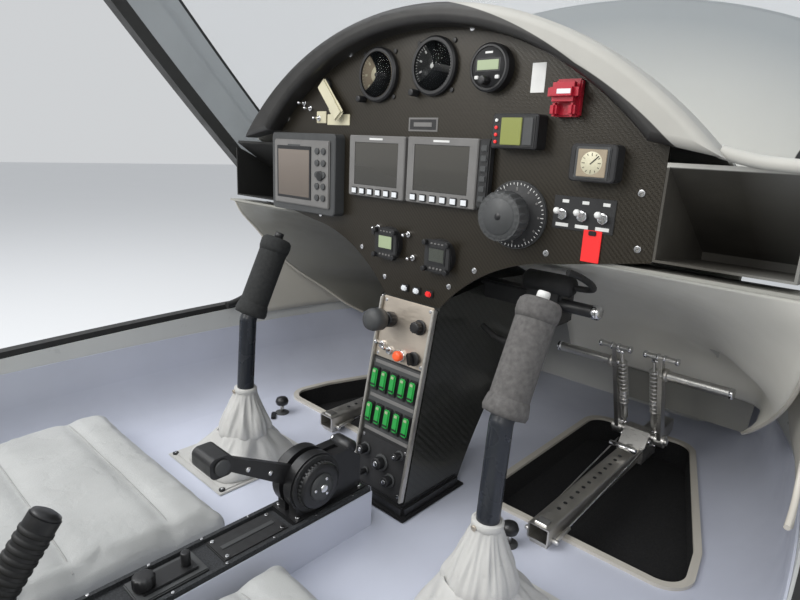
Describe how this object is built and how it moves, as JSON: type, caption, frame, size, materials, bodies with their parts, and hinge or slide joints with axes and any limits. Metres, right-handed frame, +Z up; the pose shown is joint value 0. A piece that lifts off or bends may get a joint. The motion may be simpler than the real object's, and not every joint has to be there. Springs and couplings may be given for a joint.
{
  "type": "motor glider cockpit section",
  "caption": "Side-by-side cockpit section of a motor glider: seats, sticks, pedals, instrument panel, pedestal and a raised front-hinged canopy on the open fuselage shell.",
  "frame": {"origin": "centre of the four bolts of the rear bulkhead, on its rear face", "axes": "+X to the pilots' right, +Y forward along the fuselage, +Z up"},
  "size_m": [1.2068, 2.02, 2.1524],
  "materials": {
    "shell_paint": "satin",
    "bulkhead_paint": "satin",
    "carpet_black": "matte",
    "floor_grey": "satin",
    "well_black": "matte",
    "bead_beige": "satin",
    "seal_rubber": "matte",
    "canopy_grey": "satin",
    "canopy_clear": "clear",
    "steel": "brushed",
    "aluminium": "satin",
    "black_metal": "satin",
    "leather_grey": "soft grain",
    "boot_leather": "soft grain",
    "foam_black": "matte foam",
    "foam_brown": "matte foam",
    "carbon": "woven, clear-coated",
    "panel_grey": "matte",
    "instrument_black": "matte",
    "dial_beige": "matte",
    "bezel_grey": "satin",
    "screen_olive": "matte",
    "hood_black": "matte",
    "deck_grey": "matte",
    "cover_beige": "satin",
    "red": "gloss",
    "green": "satin",
    "knob_black": "satin"
  },
  "bodies": {
    "cockpit": {"fuselage_shell": "shell_paint", "rear_bulkhead": "bulkhead_paint", "firewall": "bulkhead_paint", "canopy_seal": "seal_rubber", "canopy_hinges": "steel", "floor_pan": "floor_grey", "footwells": "well_black", "well_trims": "bead_beige", "centre_tunnel": "carpet_black", "seat_pan": "carpet_black", "seat_cushion_left": "leather_grey", "seat_cushion_right": "leather_grey", "seat_back_left": "leather_grey", "seat_back_right": "leather_grey", "throttle_quadrant": "black_metal", "throttle_lever": "knob_black", "brake_lever": "knob_black", "instrument_panel": "panel_grey", "airspeed_dial": "dial_beige", "altimeter_dial": "instrument_black", "radio_unit": "instrument_black", "display_left": "bezel_grey", "display_right": "bezel_grey", "gps_unit": "instrument_black", "logger_unit": "screen_olive", "square_gauge": "dial_beige", "lower_gauges": "instrument_black", "selector_knob": "knob_black", "panel_switches": "aluminium", "guard_handle": "red", "hood_rim": "hood_black", "glareshield": "deck_grey", "glove_trays": "cover_beige", "knee_covers": "cover_beige", "pedestal_shell": "carbon", "pedestal_face": "aluminium", "breakers": "green", "pedestal_knobs": "knob_black", "stick_base_left": "steel", "stick_base_right": "steel", "boot_left": "boot_leather", "boot_right": "boot_leather", "pedal_rails": "aluminium", "pedal_carriages": "black_metal"},
    "canopy": {"canopy_frame": "canopy_grey", "canopy_glass": "canopy_clear"},
    "roll_left": {"gimbal_left": "steel"},
    "stick_left": {"stick_left": "black_metal", "grip_left": "foam_black", "boot_sleeve_left": "boot_leather"},
    "pedal_left_left": {"pedal_left_left": "steel"},
    "pedal_left_right": {"pedal_left_right": "steel"},
    "roll_right": {"gimbal_right": "steel"},
    "stick_right": {"stick_right": "black_metal", "grip_right": "foam_brown", "boot_sleeve_right": "boot_leather"},
    "pedal_right_left": {"pedal_right_left": "steel"},
    "pedal_right_right": {"pedal_right_right": "steel"}
  },
  "joints": [
    {"name": "stick_roll_left", "type": "hinge", "parent": "cockpit", "child": "roll_left", "pos_m": [-0.27, 1.15, -0.058], "axis": [0, 1, 0], "range_deg": [-12, 12]},
    {"name": "stick_pitch_left", "type": "hinge", "parent": "roll_left", "child": "stick_left", "pos_m": [-0.27, 1.15, -0.058], "axis": [1, 0, 0], "range_deg": [-15, 15]},
    {"name": "stick_roll_right", "type": "hinge", "parent": "cockpit", "child": "roll_right", "pos_m": [0.27, 1.15, -0.058], "axis": [0, 1, 0], "range_deg": [-12, 12]},
    {"name": "stick_pitch_right", "type": "hinge", "parent": "roll_right", "child": "stick_right", "pos_m": [0.27, 1.15, -0.058], "axis": [1, 0, 0], "range_deg": [-15, 15]},
    {"name": "pedal_left_left", "type": "hinge", "parent": "cockpit", "child": "pedal_left_left", "pos_m": [0, 1.73, -0.046], "axis": [1, 0, 0], "range_deg": [-15, 15]},
    {"name": "pedal_left_right", "type": "hinge", "parent": "cockpit", "child": "pedal_left_right", "pos_m": [0, 1.73, -0.046], "axis": [1, 0, 0], "range_deg": [-15, 15]},
    {"name": "pedal_right_left", "type": "hinge", "parent": "cockpit", "child": "pedal_right_left", "pos_m": [0, 1.73, -0.046], "axis": [1, 0, 0], "range_deg": [-15, 15]},
    {"name": "pedal_right_right", "type": "hinge", "parent": "cockpit", "child": "pedal_right_right", "pos_m": [0, 1.73, -0.046], "axis": [1, 0, 0], "range_deg": [-15, 15]},
    {"name": "canopy_hinge", "type": "hinge", "parent": "cockpit", "child": "canopy", "pos_m": [0, 1.7, 0.358], "axis": [1, 0, 0], "range_deg": [-4, 51]}
  ],
  "couplings": [
    {"joint": "stick_roll_right", "follows": "stick_roll_left", "ratio": 1},
    {"joint": "stick_pitch_right", "follows": "stick_pitch_left", "ratio": 1},
    {"joint": "pedal_left_right", "follows": "pedal_left_left", "ratio": -1},
    {"joint": "pedal_right_left", "follows": "pedal_left_left", "ratio": 1},
    {"joint": "pedal_right_right", "follows": "pedal_left_left", "ratio": -1}
  ]
}
